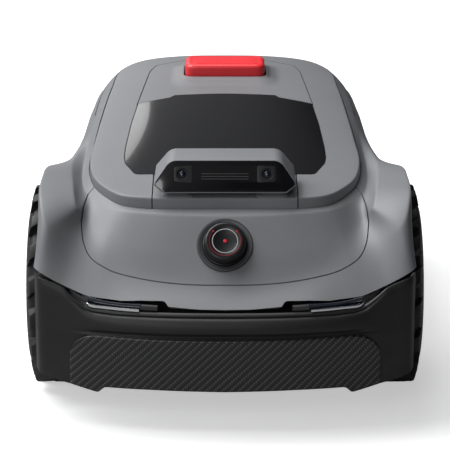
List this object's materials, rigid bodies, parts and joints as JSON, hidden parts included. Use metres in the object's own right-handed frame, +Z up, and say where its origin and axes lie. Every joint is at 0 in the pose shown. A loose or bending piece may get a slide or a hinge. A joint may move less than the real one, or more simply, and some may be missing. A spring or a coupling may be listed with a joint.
{
  "type": "robotic lawn mower",
  "caption": "Low wheeled robotic lawn mower with a raised deck, hinged control lid, red stop button, camera bar, front sensor head and floating bumper.",
  "frame": {"origin": "on the ground under the middle of the machine", "axes": "+Z up, the front faces -Y, +X to the right of someone who looks at the front"},
  "size_m": [0.442, 0.646, 0.281],
  "materials": {
    "shell_grey": "satin metallic grey moulding",
    "gloss_black": "high gloss black",
    "matte_black": "fine textured black moulding",
    "carbon_face": "clear-coated twill weave",
    "stop_red": "satin red",
    "key_grey": "soft-touch grey",
    "dark_lens": "dark tinted optical cover",
    "bright_trim": "bright plated strip",
    "bare_steel": "turned steel",
    "blade_steel": "ground steel",
    "motor_case": "cast and machined case",
    "battery_case": "moulded case",
    "circuit_green": "solder mask",
    "tyre_rubber": "moulded rubber",
    "rim_black": "moulded wheel disc"
  },
  "bodies": {
    "root": {"outer_shell": "shell_grey", "nose_panel": "shell_grey", "side_cover_right": "shell_grey", "side_cover_left": "shell_grey", "deck_panel": "shell_grey", "camera_base": "shell_grey", "rear_panel": "shell_grey", "camera_housing": "shell_grey", "camera_window": "gloss_black", "lidar_head": "gloss_black", "chassis_base": "matte_black", "chassis_frame": "matte_black", "cutter_hood": "matte_black", "stop_bracket": "matte_black", "control_tray": "matte_black", "lidar_bezel": "matte_black", "camera_lens_right": "dark_lens", "camera_lens_left": "dark_lens", "headlight_lens_right": "dark_lens", "headlight_lens_left": "dark_lens", "headlight_trim_right": "bright_trim", "headlight_trim_left": "bright_trim", "lid_hinge_pin": "bare_steel", "stop_spring": "bare_steel", "bumper_spring_right": "bare_steel", "bumper_spring_left": "bare_steel", "charging_contact_right": "bare_steel", "charging_contact_left": "bare_steel", "lift_motor": "motor_case", "hub_motor_front_right": "motor_case", "hub_motor_front_left": "motor_case", "hub_motor_rear_right": "motor_case", "hub_motor_rear_left": "motor_case", "battery_pack": "battery_case", "main_board": "circuit_green"},
    "bumper": {"front_bumper": "matte_black", "bumper_face": "carbon_face"},
    "lid": {"control_lid": "gloss_black"},
    "stop_button": {"stop_button": "stop_red"},
    "key_power": {"key_power": "stop_red"},
    "key_start": {"key_start": "key_grey"},
    "key_home": {"key_home": "key_grey"},
    "lift": {"lift_carriage": "matte_black", "blade_motor": "motor_case"},
    "lift_screw": {"lift_screw": "bare_steel"},
    "cutter": {"cutting_disc": "matte_black", "blade_screw_1": "bare_steel", "blade_screw_2": "bare_steel", "blade_screw_3": "bare_steel"},
    "blade_1": {"blade_1": "blade_steel"},
    "blade_2": {"blade_2": "blade_steel"},
    "blade_3": {"blade_3": "blade_steel"},
    "wheel_front_right": {"tyre_front_right": "tyre_rubber", "rim_front_right": "rim_black"},
    "wheel_front_left": {"tyre_front_left": "tyre_rubber", "rim_front_left": "rim_black"},
    "wheel_rear_right": {"tyre_rear_right": "tyre_rubber", "rim_rear_right": "rim_black"},
    "wheel_rear_left": {"tyre_rear_left": "tyre_rubber", "rim_rear_left": "rim_black"}
  },
  "joints": [
    {"name": "wheel_front_right_spin", "type": "hinge", "parent": "root", "child": "wheel_front_right", "pos_m": [0.19, -0.153, 0.111], "axis": [1, 0, 0], "continuous": true},
    {"name": "wheel_front_left_spin", "type": "hinge", "parent": "root", "child": "wheel_front_left", "pos_m": [-0.19, -0.153, 0.111], "axis": [1, 0, 0], "continuous": true},
    {"name": "wheel_rear_right_spin", "type": "hinge", "parent": "root", "child": "wheel_rear_right", "pos_m": [0.142, 0.162, 0.098], "axis": [1, 0, 0], "continuous": true},
    {"name": "wheel_rear_left_spin", "type": "hinge", "parent": "root", "child": "wheel_rear_left", "pos_m": [-0.142, 0.162, 0.098], "axis": [1, 0, 0], "continuous": true},
    {"name": "bumper_press", "type": "slide", "parent": "root", "child": "bumper", "axis": [0, 1, 0], "range_m": [0, 0.005], "stiffness_N_per_m": 4000, "springref_m": -0.002},
    {"name": "lid_hinge", "type": "hinge", "parent": "root", "child": "lid", "pos_m": [0, -0.1579, 0.238], "axis": [1, 0, 0], "range_deg": [0, 75]},
    {"name": "stop_press", "type": "slide", "parent": "root", "child": "stop_button", "axis": [0, 0, -1], "range_m": [0, 0.005], "stiffness_N_per_m": 1500, "springref_m": -0.004, "deforming": ["stop_spring"]},
    {"name": "key_power_press", "type": "slide", "parent": "root", "child": "key_power", "axis": [0, 0, -1], "range_m": [0, 0.0015], "stiffness_N_per_m": 600, "springref_m": -0.001},
    {"name": "key_start_press", "type": "slide", "parent": "root", "child": "key_start", "axis": [0, 0, -1], "range_m": [0, 0.0015], "stiffness_N_per_m": 600, "springref_m": -0.001},
    {"name": "key_home_press", "type": "slide", "parent": "root", "child": "key_home", "axis": [0, 0, -1], "range_m": [0, 0.0015], "stiffness_N_per_m": 600, "springref_m": -0.001},
    {"name": "cutting_height", "type": "slide", "parent": "root", "child": "lift", "axis": [0, 0, 1], "range_m": [-0.02, 0.02]},
    {"name": "lift_screw_turn", "type": "hinge", "parent": "root", "child": "lift_screw", "pos_m": [0, 0.047, 0.15], "axis": [0, 0, 1], "range_deg": [-900, 900]},
    {"name": "cutter_spin", "type": "hinge", "parent": "lift", "child": "cutter", "pos_m": [0, -0.003, 0.045], "axis": [0, 0, 1], "continuous": true},
    {"name": "blade_1_swing", "type": "hinge", "parent": "cutter", "child": "blade_1", "pos_m": [0.066, -0.003, 0.039], "axis": [0, 0, 1], "continuous": true},
    {"name": "blade_2_swing", "type": "hinge", "parent": "cutter", "child": "blade_2", "pos_m": [-0.033, 0.05416, 0.039], "axis": [0, 0, 1], "continuous": true},
    {"name": "blade_3_swing", "type": "hinge", "parent": "cutter", "child": "blade_3", "pos_m": [-0.033, -0.06016, 0.039], "axis": [0, 0, 1], "continuous": true}
  ],
  "couplings": [
    {"joint": "lift_screw_turn", "follows": "cutting_height", "rad_per_m": 785.4}
  ]
}
